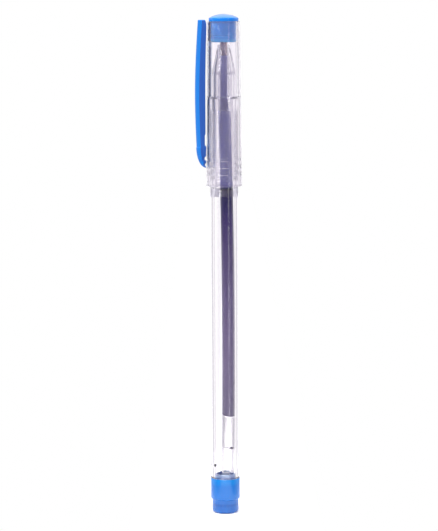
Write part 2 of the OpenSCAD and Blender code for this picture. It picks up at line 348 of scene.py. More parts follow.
barrel_plastic = clear_plastic("clear_barrel_plastic", (0.996, 0.992, 0.990), (0.99, 0.982, 0.985),
                               1.58, 0.02, 0.10, 0.004)
cap_plastic = clear_plastic("clear_cap_plastic", (0.995, 0.985, 1.0), (0.985, 0.962, 0.99),
                            1.47, 0.03, 0.15, 0.006, clear=0.95)
tube_plastic = clear_plastic("ink_tube_plastic", (0.985, 0.98, 0.985), (0.97, 0.965, 0.975),
                             1.49, 0.05, 0.10, 0.004)
holder_plastic = clear_plastic("point_holder_plastic", (0.93, 0.925, 0.96), (0.90, 0.90, 0.95),
                               1.49, 0.09, 0.10, 0.006)
grease = clear_plastic("follower_grease", (0.985, 0.985, 0.965), (0.97, 0.97, 0.94),
                       1.47, 0.04, 0.0, 0.010)


# %% [markdown]
# ## Blue plastics
# The two plugs are the same translucent blue: light enters, scatters a little and comes out lighter where the
# wall is thin. Scattering under the skin gives the glow. Where the wall changes thickness is known, so the
# base colour follows a list of bands up the pen, which is easier to steer than true see-through plastic. The
# bands also carry painted light and shade: a painted shadow under the tail plug's step, a painted highlight on
# its upper rim, painted light on its spigot and painted shade on the top of the cap plug's dome. The clip is
# the same blue in an opaque grade with a polish. Its flat flanks get a deeper blue than its crowned outer face,
# which catches the light: painted shade. The piece's own normal tells them apart.


# %% Blue plastic finish
SHARP_EDGE_BLUE = (0.06, 0.34, 0.90)


def blue_plastic(name, bands, light, rough, glow, gloss=0.5, painted_flank_shade=None):
    """Moulded blue plastic whose colour changes along bands of (height in mm, colour), which may hold painted
    light and shade, clouded with light; flanks, if given, are a deeper blue on sideways faces as painted shade.
    """
    made, tree, shader = new_finish(name)
    skin = place_group(tree, moulded_skin, Wave_Size=420.0, Grain_Size=11000.0, Grain_Share=0.35)
    worn = place_group(tree, handling, Smudge_Size=260.0, Scratch_Size=3200.0, Amount=0.5)
    colour = bands[0][1]
    for (low_mm, _), (high_mm, next_colour) in zip(bands, bands[1:]):
        height = place_group(tree, along_pen, Low=low_mm * MM, High=high_mm * MM)["Height Share"]
        colour = colour_mix(tree, height, colour, next_colour)
    clouded = colour_mix(tree, maths(tree, "MULTIPLY", skin["Flow"], 0.15), colour, light)
    # Painted shade: faces turned sideways take the deeper flank blue, since the flanks catch less light than
    # the crowned outer face.
    if painted_flank_shade:
        turned_to = add_node(tree, "ShaderNodeTexCoord").outputs["Normal"]
        across_pen = add_node(tree, "ShaderNodeSeparateXYZ", Vector=turned_to).outputs["Y"]
        flat = soft_step(tree, maths(tree, "ABSOLUTE", across_pen), 0.80, 0.97)
        clouded = colour_mix(tree, flat, clouded, painted_flank_shade)
    # Sharp convex edges are mixed halfway to a lighter blue.
    edges = maths(tree, "MULTIPLY", worn["Sharp Edge"], 0.5)
    tree.links.new(colour_mix(tree, edges, clouded, SHARP_EDGE_BLUE), shader.inputs["Base Color"])
    tree.links.new(soft_step(tree, worn["Wear"], 0.0, 1.0, rough, rough + 0.15), shader.inputs["Roughness"])
    bump(tree, shader, skin["Height"], 0.25, 0.012)
    set_shader(shader, Subsurface_Weight=glow, Subsurface_Radius=(0.2, 0.6, 1.0), Subsurface_Scale=1.2 * MM,
               IOR=1.5, Specular_IOR_Level=gloss)
    print(f"{name}: roughness {rough}, glow {glow}, gloss {gloss}")
    return made


tail_low, tail_high = span_mm("tail_plug")
head_low, head_high = span_mm("cap_plug")
# Tail bands: the dark band from 2.0 to 3.2 mm is a painted shadow under the foot's step, the lighter blue from
# 10.0 mm a painted highlight on the band's upper rim, and the pale blues at the top painted light on the
# spigot.
TAIL_COLOUR_AND_SHADE_BANDS = [(0.0, (0.006, 0.105, 0.38)), (2.0, (0.005, 0.095, 0.35)), (2.6, (0.002, 0.070, 0.29)),
              (3.2, (0.008, 0.115, 0.40)), (4.4, (0.010, 0.140, 0.45)), (8.5, (0.008, 0.145, 0.47)),
              (10.0, (0.004, 0.20, 0.54)), (10.6, (0.004, 0.20, 0.54)), (10.7, (0.22, 0.36, 0.62)),
              (11.4, (0.45, 0.58, 0.82))]
# Cap plug bands: lighter at the plug's lower rim, and darker at the top of the dome from 148.4 mm, which is
# painted shade in and round the gate's recess.
HEAD_COLOUR_AND_SHADE_BANDS = [(140.9, (0.05, 0.52, 1.0)), (141.6, (0.05, 0.52, 1.0)), (141.9, (0.015, 0.33, 0.84)),
              (146.6, (0.030, 0.33, 0.88)), (147.0, (0.001, 0.23, 0.76)), (147.9, (0.001, 0.23, 0.76)),
              (148.4, (0.08, 0.21, 0.53))]
CLIP_BANDS = [(104.0, (0.003, 0.21, 0.72)), (112.0, (0.003, 0.20, 0.63)), (147.5, (0.003, 0.18, 0.58))]
tail_blue = blue_plastic("tail_plug_blue", TAIL_COLOUR_AND_SHADE_BANDS, (0.02, 0.22, 0.60), 0.16, 0.20)
head_blue = blue_plastic("cap_plug_blue", HEAD_COLOUR_AND_SHADE_BANDS, (0.08, 0.34, 0.86), 0.10, 0.20)
# The clip's flanks get a deeper blue as painted shade.
clip_blue = blue_plastic("clip_blue", CLIP_BANDS, (0.02, 0.24, 0.75), 0.14, 0.0, 0.25,
                         painted_flank_shade=(0.034, 0.118, 0.42))


# %% [markdown]
# ## Ink, metal and the soft pad
# Gel ink is thick and nearly opaque. It is dark towards the point and lighter and greyer further down, with
# fine streaks that follow the tube. Just below the cap's lip a near-black band is painted shade, and above it
# the ink is painted a brighter blue, and its thread in the holder a pale blue, as painted light. The point is
# turned metal, so its grain runs round it. The pad is matt silicone.


# %% Ink finish
ink_low, ink_high = span_mm("gel_ink")


def ink_finish():
    """Violet-blue gel that gets greyer downwards, streaked along the tube, with painted shade under the cap's
    lip and painted light above it.
    """
    made, tree, shader = new_finish("gel_ink_violet")
    height = place_group(tree, along_pen, Low=ink_low.z * MM, High=ink_high.z * MM)["Height Share"]
    ramp = add_node(tree, "ShaderNodeValToRGB", Fac=height)
    # The near-black stop at 0.638 is painted shade just below the cap's lip; the brighter blue from 0.648 and
    # the pale blue from 0.855 over the thread are painted light.
    stops = [(0.0, (0.54, 0.49, 0.62)), (0.18, (0.56, 0.47, 0.68)), (0.31, (0.43, 0.35, 0.58)),
             (0.47, (0.21, 0.155, 0.37)), (0.54, (0.10, 0.065, 0.28)), (0.60, (0.012, 0.008, 0.15)),
             (0.630, (0.008, 0.004, 0.10)), (0.638, (0.002, 0.001, 0.010)), (0.648, (0.13, 0.14, 0.82)),
             (0.845, (0.14, 0.15, 0.86)), (0.855, (0.44, 0.45, 1.0))]
    for position, colour in stops[1:]:
        ramp.color_ramp.elements.new(position).color = (*colour, 1)
    ramp.color_ramp.elements[0].color = (*stops[0][1], 1)
    ramp.color_ramp.elements[-1].color = (*stops[-1][1], 1)
    where = add_node(tree, "ShaderNodeTexCoord").outputs["Object"]
    stretched = add_node(tree, "ShaderNodeMapping", Vector=where, Scale=(1, 1, 0.03)).outputs[0]
    streak = add_node(tree, "ShaderNodeTexNoise", Vector=stretched, Scale=1900.0, Detail=3.0).outputs["Fac"]
    streak_mask = soft_step(tree, streak, 0.35, 0.75, 0.0, 0.22)
    streaked = colour_mix(tree, streak_mask, ramp.outputs["Color"], (0.26, 0.23, 0.42))
    tree.links.new(streaked, shader.inputs["Base Color"])
    skin = place_group(tree, moulded_skin, Wave_Size=700.0, Grain_Size=5000.0, Grain_Share=0.3)
    bump(tree, shader, skin["Height"], 0.3, 0.02)
    tree.links.new(soft_step(tree, skin["Flow"], 0.3, 0.7, 0.35, 0.5), shader.inputs["Roughness"])
    set_shader(shader, IOR=1.4)
    return made


gel = ink_finish()
print("ink runs from", round(ink_low.z, 1), "to", round(ink_high.z, 1), "mm")


# %% Metal finish
def turned_metal(name, colour, dark, rough, ring_mm):
    """Metal turned on a lathe: fine rings round the axis."""
    made, tree, shader = new_finish(name)
    where = add_node(tree, "ShaderNodeTexCoord").outputs["Object"]
    squeezed = add_node(tree, "ShaderNodeMapping", Vector=where, Scale=(0.03, 0.03, 1)).outputs[0]
    noise = add_node(tree, "ShaderNodeTexNoise", Vector=squeezed, Scale=1 / (ring_mm * MM), Detail=2.0)
    rings = noise.outputs["Fac"]
    worn = place_group(tree, handling, Smudge_Size=500.0, Scratch_Size=6000.0, Amount=0.6)
    toned = colour_mix(tree, rings, dark, colour)
    tree.links.new(toned, shader.inputs["Base Color"])
    tree.links.new(soft_step(tree, worn["Wear"], 0.0, 1.0, rough, rough + 0.2), shader.inputs["Roughness"])
    bump(tree, shader, rings, 0.3, 0.004)
    set_shader(shader, Metallic=1.0)
    print(f"{name}: rings about {ring_mm} mm apart")
    return made


point_metal = turned_metal("point_nickel_brass", (0.80, 0.66, 0.58), (0.62, 0.50, 0.44), 0.24, 0.08)
ball_metal = turned_metal("ball_carbide", (0.50, 0.50, 0.53), (0.40, 0.40, 0.43), 0.12, 0.05)


# %% Silicone finish
def silicone_finish():
    """Matt, slightly translucent silicone."""
    made, tree, shader = new_finish("seal_silicone")
    skin = place_group(tree, moulded_skin, Wave_Size=900.0, Grain_Size=16000.0, Grain_Share=0.8)
    worn = place_group(tree, handling, Smudge_Size=800.0, Scratch_Size=7000.0, Amount=0.4)
    tree.links.new(colour_mix(tree, skin["Flow"], (0.66, 0.68, 0.74), (0.80, 0.81, 0.85)),
                   shader.inputs["Base Color"])
    tree.links.new(soft_step(tree, worn["Wear"], 0.0, 1.0, 0.45, 0.6), shader.inputs["Roughness"])
    bump(tree, shader, skin["Height"], 0.4, 0.02)
    set_shader(shader, Subsurface_Weight=0.2, Subsurface_Radius=(1.0, 0.9, 0.8), Subsurface_Scale=0.8 * MM)
    return made


silicone = silicone_finish()
print("silicone ready")

# %% [markdown]
# ## How the round pieces are drawn
# Nearly every piece of a pen is round, so nearly every piece is a lathe: an outline of radius and height,
# swept round the pen's axis. A ready-made cylinder has no edge radii, and a modifier would leave the outline
# harder to read. An outline here is a list of corners, and a third number rounds a corner off. Long straight
# stretches get an extra ring close to each end, which keeps the smooth shading of the small radii from
# spreading along the wall, where clear plastic would show it as a wrong reflection.

# %% Round the corners of an outline
ARC_STEP = math.radians(15)
HOLD = 0.04


def rounded(corners, closed=True):
    """An outline from corners (radius, height) or (radius, height, size of the rounding), in millimetres."""
    outline = []
    for index, corner in enumerate(corners):
        here = Vector(corner[:2])
        size = corner[2] if len(corner) > 2 else 0
        at_end = not closed and index in (0, len(corners) - 1)
        if size == 0 or at_end:
            outline.append(here)
            continue
        before = Vector(corners[index - 1][:2]) - here
        after = Vector(corners[(index + 1) % len(corners)][:2]) - here
        half = before.angle(after) / 2
        reach = min(size / math.tan(half), before.length * 0.48, after.length * 0.48)
        radius = reach * math.tan(half)
        first, last = before.normalized() * reach, after.normalized() * reach
        middle = (before.normalized() + after.normalized()).normalized() * radius / math.sin(half)
        sweep = math.pi - 2 * half
        steps = max(2, math.ceil(sweep / ARC_STEP))
        for step in range(steps + 1):
            part = step / steps
            weight_first = math.sin((1 - part) * sweep) / math.sin(sweep)
            weight_last = math.sin(part * sweep) / math.sin(sweep)
            outline.append(here + middle + (first - middle) * weight_first + (last - middle) * weight_last)
    return outline


def held(outline, closed=True, longest=None):
    """Adds rings near the ends of long stretches, and along them where no stretch may pass a length."""
    result = []
    ends = outline[1:] + outline[:1] if closed else outline[1:] + [None]
    for here, there in zip(outline, ends):
        result.append(here)
        if there is None:
            continue
        length = (there - here).length
        if length > 8 * HOLD:
            way = (there - here) / length
            pieces = 1 if longest is None else math.ceil(length / longest)
            result.append(here + way * HOLD)
            result.extend(here + way * length * part / pieces for part in range(1, pieces))
            result.append(there - way * HOLD)
    return result


sample = held(rounded([(0, 0), (2, 0, 0.3), (2, 5, 0.3), (0, 5)], closed=False), closed=False)
print("a rounded pin needs", len(sample), "rings")


# %% Sweep an outline round the axis
def new_piece(name, points_mm, faces):
    """A mesh object from points in millimetres, smooth where its faces meet at a shallow angle."""
    mesh = bpy.data.meshes.new(name)
    mesh.from_pydata([Vector(point) * MM for point in points_mm], [], faces)
    solid = bmesh.new()
    solid.from_mesh(mesh)
    if solid.calc_volume(signed=True) < 0:
        bmesh.ops.reverse_faces(solid, faces=solid.faces)
    solid.to_mesh(mesh)
    solid.free()
    mesh.shade_smooth()
    mesh.set_sharp_from_angle(angle=math.radians(33))
    piece = bpy.data.objects.new(name, mesh)
    SCENE.collection.objects.link(piece)
    return piece


def straight(height):
    """Centre line of a piece that stands on the pen's axis."""
    return 0.0


def lathe(name, outline, closed=True, sides=128, centre=straight, lift=None):
    """Turns an outline round the axis: a closed one makes a tube, an open one starts and ends on the axis."""
    points, rings = [], []
    for radius, height in outline:
        if radius < 1e-6:
            rings.append([len(points)])
            points.append((centre(height), 0, height))
            continue
        rings.append(list(range(len(points), len(points) + sides)))
        for side_index in range(sides):
            angle = math.tau * side_index / sides
            x, y = radius * math.cos(angle), radius * math.sin(angle)
            rise = lift(radius, angle, height) if lift else 0.0
            points.append((centre(height) + x, y, height + rise))
    faces = []
    pairs = list(zip(rings, rings[1:] + rings[:1])) if closed else list(zip(rings, rings[1:]))
    for lower, upper in pairs:
        for side_index in range(sides):
            following = (side_index + 1) % sides
            corners = [lower[side_index % len(lower)], lower[following % len(lower)],
                       upper[following % len(upper)], upper[side_index % len(upper)]]
            unique = list(dict.fromkeys(corners))
            if len(unique) > 2:
                faces.append(unique)
    return new_piece(name, points, faces)


# %% Cut or join pieces
def combine(piece, tool, operation="DIFFERENCE"):
    """Cuts the tool out of the piece, or joins it on, and throws the tool away."""
    modifier = piece.modifiers.new("shape", "BOOLEAN")
    modifier.operation = operation
    modifier.solver = "EXACT"
    modifier.object = tool
    graph = bpy.context.evaluated_depsgraph_get()
    shaped = bpy.data.meshes.new_from_object(piece.evaluated_get(graph))
    piece.modifiers.clear()
    piece.data = shaped
    shaped.shade_smooth()
    shaped.set_sharp_from_angle(angle=math.radians(33))
    bpy.data.objects.remove(tool)
    return piece


def pin_tool(radius, length, place, direction=(0, 0, 1), sides=48):
    """A plain pin centred at a place, in millimetres, used only to cut or to be joined."""
    half = length / 2
    tool = lathe("pin_tool", [Vector(c) for c in ((0, -half), (radius, -half), (radius, half), (0, half))],
                 closed=False, sides=sides)
    turn = Vector((0, 0, 1)).rotation_difference(Vector(direction))
    tool.data.transform(turn.to_matrix().to_4x4())
    for vertex in tool.data.vertices:
        vertex.co += Vector(place) * MM
    return tool


def ball_tool(radius, place):
    """A ball used only to cut."""
    rows = 24
    outline = [Vector((radius * math.sin(math.pi * row / rows), -radius * math.cos(math.pi * row / rows)))
               for row in range(rows + 1)]
    outline[0].x = outline[-1].x = 0
    tool = lathe("ball_tool", outline, closed=False, sides=48)
    for vertex in tool.data.vertices:
        vertex.co += Vector(place) * MM
    return tool


def block_tool(low, high):
    """A box between two corners, used only to cut or to be joined."""
    points = [(x, y, z) for x in (low[0], high[0]) for y in (low[1], high[1]) for z in (low[2], high[2])]
    faces = [(0, 1, 3, 2), (4, 6, 7, 5), (0, 4, 5, 1), (2, 3, 7, 6), (0, 2, 6, 4), (1, 5, 7, 3)]
    return new_piece("block_tool", points, faces)


# %% Hand a finished piece over
def hand_over(piece, body, node, finish):
    """Gives a piece its finish, makes it move with its body, and lets it stand for its engineering piece."""
    piece.data.materials.clear()
    piece.data.materials.append(finish)
    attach(piece, body)
    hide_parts(node)
    print(f"{piece.name}: {len(piece.data.polygons)} faces, {piece.dimensions.z / MM:.1f} mm tall")


# %% [markdown]
# ## The barrel
# One clear moulding from the tail to the nose: a slightly wider tail that meets the blue plug, a long plain
# body, a grip with fine rings, a shoulder that the cap closes against, a nose cone and a collar. It is drawn
# as one outline that goes up the outside and comes down the inside. The rings are saw-toothed, which makes
# the zigzag on the edge of the ink. A small air hole near the tail and the round mark of the moulding gate on
# the grip are cut out afterwards, because they aren't round about the pen's axis.

# %% Barrel sizes
barrel_low, barrel_high = span_mm("barrel")
BAND_R = barrel_high.y
BODY_R = 4.1
GRIP_R = 4.2
FRONT_R = 3.4
COLLAR_R = 1.85
BODY_BORE_R = 3.2
GRIP_BORE_R = 2.75
FRONT_BORE_R = 2.45
GRIP_Z = 98
SHOULDER_Z = 124.9
CONE_Z = 132.5
COLLAR_Z = 139.2
STOP_Z = 138.6
TAIL_Z = barrel_low.z
NOSE_Z = barrel_high.z
RING_COUNT = 29
RING_PITCH = 0.725
RING_DEPTH = 0.12
RING_TOP_Z = 121.15


def grip_rings():
    """Corners of the saw-toothed rings round the grip, from the lowest to the highest."""
    corners = []
    low = RING_TOP_Z - RING_COUNT * RING_PITCH
    for index in range(RING_COUNT):
        z = low + index * RING_PITCH
        corners += [(GRIP_R, z, 0.05), (GRIP_R - RING_DEPTH, z + 0.3, 0.05),
                    (GRIP_R - RING_DEPTH, z + 0.45, 0.05), (GRIP_R, z + 0.6, 0.05)]
    return corners


# %% Barrel outline
outside = [(BAND_R, TAIL_Z, 0.15), (BAND_R, 13.3, 3), (BODY_R, 18.5, 3), (BODY_R, GRIP_Z, 0.8),
           (GRIP_R, GRIP_Z + 1, 0.8)]
outside += grip_rings()
outside += [(GRIP_R, SHOULDER_Z, 0.15), (FRONT_R, SHOULDER_Z, 0.12), (FRONT_R, CONE_Z, 0.6),
            (COLLAR_R + 0.1, COLLAR_Z, 0.04), (COLLAR_R, COLLAR_Z, 0.04), (COLLAR_R, NOSE_Z, 0.15)]
inside = [(1.3, NOSE_Z, 0.1), (1.3, STOP_Z, 0.04), (1.7, STOP_Z, 0.08), (1.7, STOP_Z - 1, 0.3),
          (FRONT_BORE_R, 131.5, 0.8), (FRONT_BORE_R, SHOULDER_Z, 0.3), (GRIP_BORE_R, SHOULDER_Z - 0.5, 0.3),
          (GRIP_BORE_R, GRIP_Z, 0.8), (BODY_BORE_R, GRIP_Z - 2.5, 0.8), (BODY_BORE_R, TAIL_Z, 0.08)]
barrel = lathe("barrel_clear", held(rounded(outside + inside), longest=4.0))

# %% Barrel's air hole and gate mark
VENT_Z = 14.8
VENT_R = 0.45
VENT_TURN = math.radians(225)
vent_way = Vector((math.cos(VENT_TURN), math.sin(VENT_TURN), 0))
combine(barrel, pin_tool(VENT_R, 3, vent_way * 4 + Vector((0, 0, VENT_Z)), vent_way, sides=24))
GATE_TURN = math.radians(-72)
GATE_SPHERE_R = 1.7
GATE_DEPTH = 0.25
GATE_Z = 122.2
gate_reach = GRIP_R + GATE_SPHERE_R - GATE_DEPTH
gate_place = Vector((gate_reach * math.cos(GATE_TURN), gate_reach * math.sin(GATE_TURN), GATE_Z))
combine(barrel, ball_tool(GATE_SPHERE_R, gate_place))
hand_over(barrel, "barrel", "barrel", barrel_plastic)

# %% [markdown]
# ## The tail plug
# The blue plug closes the tail. Its foot is a step narrower than its band and has a soft lower edge, and it
# is moulded hollow from above, as thick parts sink when they cool. The cap can be pushed over the band.

# %% Tail plug
FOOT_R = 3.975
FOOT_Z = 4.4
SPIGOT_R = BODY_BORE_R - 0.05
SEAM = 0.02
tail_corners = [(0, tail_low.z), (FOOT_R, 0, 1), (FOOT_R, FOOT_Z - 0.3, 0.12), (tail_high.y, FOOT_Z, 0.15),
                (tail_high.y, TAIL_Z - SEAM, 0.12), (SPIGOT_R, TAIL_Z - SEAM, 0.05),
                (SPIGOT_R, tail_high.z - 0.4, 0.1), (SPIGOT_R - 0.4, tail_high.z, 0.1),
                (2.45, tail_high.z, 0.08), (2.45, 2.6, 0.5), (0, 2.6)]
tail_plug = lathe("tail_plug_blue", held(rounded(tail_corners, closed=False), closed=False), closed=False)
hand_over(tail_plug, "tail_plug", "tail_plug", tail_blue)

# %% [markdown]
# ## The refill
# The ink tube is a plain soft tube that was cut from a coil, so it keeps a slight bow. Every piece in it
# follows the same centre line. The ink and the grease behind it wet the tube's wall, so they are drawn a
# hair wider than its bore: with a film of air between them the tube would look like a mirror.

# %% The refill's bowed centre line
tube_low, tube_high = span_mm("refill_tube")
TUBE_R = 1.9
TUBE_BORE_R = 1.4
BOW = tube_high.x - TUBE_R
BOW_Z = 53
bow_run = tube_high.z - BOW_Z
BOW_R = (bow_run ** 2 + BOW ** 2) / (2 * BOW)


def bowed(height):
    """Sideways place of the tube's centre at a height."""
    return BOW - (BOW_R - math.sqrt(BOW_R ** 2 - (height - BOW_Z) ** 2))


print(f"tube bows {BOW:.2f} mm to the side at height {BOW_Z}")

# %% Ink tube
tube_corners = [(TUBE_BORE_R, tube_low.z, 0.08), (TUBE_R, tube_low.z, 0.12),
                (TUBE_R, tube_high.z, 0.12), (TUBE_BORE_R, tube_high.z, 0.08)]
ink_tube = lathe("ink_tube_clear", held(rounded(tube_corners), longest=2.0), centre=bowed, sides=96)
hand_over(ink_tube, "refill", "refill_tube", tube_plastic)

# %% Ink
WET_R = TUBE_BORE_R + 0.006
THREAD_R = 0.706
COLUMN_TOP_Z = 121.0


def ink_centre(height):
    """The ink's centre: the tube's up to the holder, then the pen's axis."""
    return bowed(height) if height < COLUMN_TOP_Z else 0.0


def slanted(radius, angle, height):
    """The ink's lower end hangs a little lower on the right."""
    near_end = max(0.0, 1 - (height - ink_low.z) / 1.5)
    return 0.45 * near_end * (0.5 - 0.5 * math.cos(angle)) * radius / WET_R


ink_corners = [(0, ink_low.z + 0.1), (WET_R, ink_low.z, 0.25), (WET_R, COLUMN_TOP_Z, 0.05),
               (THREAD_R, COLUMN_TOP_Z, 0.05), (THREAD_R, ink_high.z, 0.1), (0, ink_high.z)]
ink = lathe("gel_ink_column", held(rounded(ink_corners, closed=False), closed=False, longest=2.0),
            closed=False, centre=ink_centre, lift=slanted, sides=96)
hand_over(ink, "refill", "gel_ink", gel)

# %% Grease behind the ink
grease_low = span_mm("ink_follower")[0]
GREASE_END_Z = grease_low.z + 0.35


def wavy_end(radius, angle, height):
    """The grease follows the ink's slanted end above, and ends in an uneven edge below."""
    if height > grease_low.z + 5:
        near_ink = max(0.0, 1 - (ink_low.z - height) / 1.5)
        return 0.45 * near_ink * (0.5 - 0.5 * math.cos(angle)) * radius / WET_R
    near_end = max(0.0, 1 - (height - GREASE_END_Z) / 2)
    return near_end * radius / WET_R * (0.20 * math.sin(2 * angle + 0.6) + 0.12 * math.sin(3 * angle))


grease_corners = [(0, GREASE_END_Z + 0.5), (0.8, GREASE_END_Z + 0.35, 0.3), (WET_R, GREASE_END_Z, 0.1),
                  (WET_R, ink_low.z - 0.03, 0.2), (0, ink_low.z + 0.05)]
follower = lathe("follower_grease", held(rounded(grease_corners, closed=False), closed=False, longest=1.0),
                 closed=False, centre=bowed, lift=wavy_end, sides=96)
hand_over(follower, "refill", "ink_follower", grease)

# %% Holder between the tube and the point
holder_low, holder_high = span_mm("tip_adapter")
SHANK_R = 1.1
SHANK_Z = 137.0
holder_corners = [(0.7, holder_low.z, 0.05), (1.28, holder_low.z, 0.15), (1.28, 124.6, 0.05), (1.8, 124.6, 0.2),
                  (1.8, 130.3, 0.15), (1.6, 130.3, 0.1), (1.6, 134.4, 0.6), (1.45, 136.9, 0.6),
                  (1.45, holder_high.z, 0.2), (SHANK_R, holder_high.z, 0.05), (SHANK_R, SHANK_Z, 0.03),
                  (0.7, SHANK_Z, 0.03)]
holder = lathe("point_holder", held(rounded(holder_corners), longest=2.0), sides=96)
hand_over(holder, "refill", "tip_adapter", holder_plastic)

# %% [markdown]
# ## The writing point
# A turned metal cone with a ball of carbide rolled into its end. It is almost hidden by the cap's plug, but
# it shows when the cap is off, so it has its groove, its crimped rim and the feed hole.

# %% Point
point_low = span_mm("tip_cone")[0]
ball_low, ball_high = span_mm("tip_ball")
BALL_R = (ball_high.z - ball_low.z) / 2
BALL_Z = (ball_high.z + ball_low.z) / 2
FEED_R = 0.15
metal_r = SHANK_R - 0.02
socket_r = BALL_R + 0.02
socket_arc = [Vector((socket_r * math.cos(turn), BALL_Z - socket_r * math.sin(turn)))
              for turn in (math.radians(step) for step in (0, 15, 30, 45, 56))]
point_outline = held(rounded([(FEED_R, point_low.z, 0.02), (metal_r, point_low.z, 0.1), (metal_r, 139.45, 0.03),
                              (metal_r - 0.07, 139.55, 0.03), (metal_r - 0.07, 139.75, 0.03),
                              (metal_r, 139.85, 0.03), (metal_r, 140.9, 0.12), (0.40, 142.75, 0.1),
                              (socket_r + 0.08, BALL_Z, 0.03)]) + socket_arc)
point = lathe("point_cone", point_outline, sides=96)
hand_over(point, "refill", "tip_cone", point_metal)

# %% Ball
ball_outline = [Vector((BALL_R * math.sin(math.pi * row / 32), BALL_Z - BALL_R * math.cos(math.pi * row / 32)))
                for row in range(33)]
ball_outline[0].x = ball_outline[-1].x = 0
ball = lathe("point_ball", ball_outline, closed=False, sides=64)
hand_over(ball, "tip_ball", "tip_ball", ball_metal)

# %% [markdown]
# ## The cap
# The cap is a clear tube that widens towards its mouth, with three grooves above the lip. The lower flank of
# each groove is straight and looks up, so that it mirrors the lamp overhead as a line. A step inside the cap
# meets the barrel's shoulder. A flat lug on its left side carries the clip and has a round pip on
# each face, which the clip snaps over. The lug and pips are joined to the turned shell, since they aren't
# round about the pen's axis.

# %% Cap outline
cap_low, cap_high = span_mm("cap_shell")
CAP_TOP_R = 4.8
CAP_MOUTH_R = cap_high.y
STEP_Z = SHOULDER_Z + 0.05
CAP_BORE_R = 3.8
CAP_STEP_OUTER_R = 4.35
CAP_MOUTH_BORE_R = 4.45
GROOVE_COUNT = 3
GROOVE_LOW_Z = 102.3
GROOVE_PITCH = 2.08
GROOVE_WIDTH = 0.9
GROOVE_DEPTH = 0.18
GROOVE_PROFILE = [(-1, 0), (-0.48, 1), (-0.1, 0.97), (0.3, 0.8), (0.7, 0.42), (1, 0)]


def cap_radius(z):
    """Outer radius of the tapered cap at a height."""
    return CAP_TOP_R + (CAP_MOUTH_R - CAP_TOP_R) * (cap_high.z - z) / (cap_high.z - cap_low.z)


def cap_grooves():
    """Grooves above the lip, each with a straight lower flank that shines and a round upper one."""
    corners = []
    for index in range(GROOVE_COUNT):
        for part, sink in GROOVE_PROFILE:
            z = GROOVE_LOW_Z + index * GROOVE_PITCH + part * GROOVE_WIDTH / 2
            corners.append((cap_radius(z) - GROOVE_DEPTH * sink, z, 0.02))
    return corners


cap_outside = [(cap_radius(cap_low.z), cap_low.z, 0.3)] + cap_grooves()
cap_outside.append((cap_radius(cap_high.z), cap_high.z, 0.15))
cap_inside = [(CAP_BORE_R, cap_high.z, 0.1), (CAP_BORE_R, head_low.z, 0.3), (CAP_BORE_R + 0.15, STEP_Z, 0.1),
              (CAP_STEP_OUTER_R, STEP_Z, 0.1), (CAP_MOUTH_BORE_R, cap_low.z, 0.2)]
cap = lathe("cap_clear", held(rounded(cap_outside + cap_inside), longest=4.0))

# %% Cap's lug and pips
clip_low, clip_high = span_mm("clip")
LUG_Z = 143.95
LUG_HEIGHT = 5.2
LUG_WIDTH = 1.8
LUG_ROOT_X = -4.3
PIP_X = -5.7
PIP_R = 0.5
PIP_SPAN = 2.8
combine(cap, block_tool((cap_low.x, -LUG_WIDTH / 2, LUG_Z - LUG_HEIGHT / 2),
                        (LUG_ROOT_X, LUG_WIDTH / 2, LUG_Z + LUG_HEIGHT / 2)), "UNION")
combine(cap, pin_tool(PIP_R, PIP_SPAN, (PIP_X, 0, LUG_Z), (0, 1, 0), sides=32), "UNION")
hand_over(cap, "cap", "cap_shell", cap_plastic)

# %% [markdown]
# ## The cap's plug
# A blue plug closes the top of the cap. Its head is a low dome on a flange, with the small round recess of
# the moulding gate beside the middle. Its body has fine rings that grip the cap's bore, one deeper groove and
# a socket that goes over the writing point.

# %% Cap plug
PLUG_R = 3.78
HEAD_R = head_high.y
FLANGE_TOP_Z = 148.0
SOCKET_Z = 144.7
BEAD_Z = 142.7
DOME_HEIGHT = head_high.z - FLANGE_TOP_Z
DOME_R = (HEAD_R ** 2 + DOME_HEIGHT ** 2) / (2 * DOME_HEIGHT)
dome_sweep = math.asin(HEAD_R / DOME_R)
DOME_STEPS = 12
dome = []
for part in range(DOME_STEPS - 1, -1, -1):
    turn = part * dome_sweep / DOME_STEPS
    dome.append((DOME_R * math.sin(turn), head_high.z - DOME_R * (1 - math.cos(turn))))
fine_rings = []
for ring in range(7):
    z = 143.3 + ring * 0.5
    fine_rings += [(PLUG_R, z, 0.05), (PLUG_R - 0.04, z + 0.18, 0.05), (PLUG_R, z + 0.3, 0.05)]
head_corners = [(0, SOCKET_Z), (1.7, SOCKET_Z, 0.1), (1.7, head_low.z, 0.15), (PLUG_R - 0.3, head_low.z, 0.12),
                (PLUG_R, head_low.z + 0.4, 0.12), (PLUG_R, BEAD_Z - 0.28, 0.06),
                (PLUG_R - 0.12, BEAD_Z - 0.1, 0.05), (PLUG_R - 0.12, BEAD_Z + 0.1, 0.05),
                (PLUG_R, BEAD_Z + 0.28, 0.06)] + fine_rings
head_corners += [(PLUG_R, cap_high.z + SEAM, 0.04), (HEAD_R, cap_high.z + SEAM, 0.12),
                 (HEAD_R, FLANGE_TOP_Z - 0.05, 0.12)] + dome
head = lathe("cap_plug_blue", held(rounded(head_corners, closed=False), closed=False), closed=False)
RECESS_X = 1.2
RECESS_R = 1.2
RECESS_DEPTH = 0.45
combine(head, pin_tool(RECESS_R, 2, (RECESS_X, 0, head_high.z - RECESS_DEPTH + 1)))
hand_over(head, "cap", "cap_plug", head_blue)

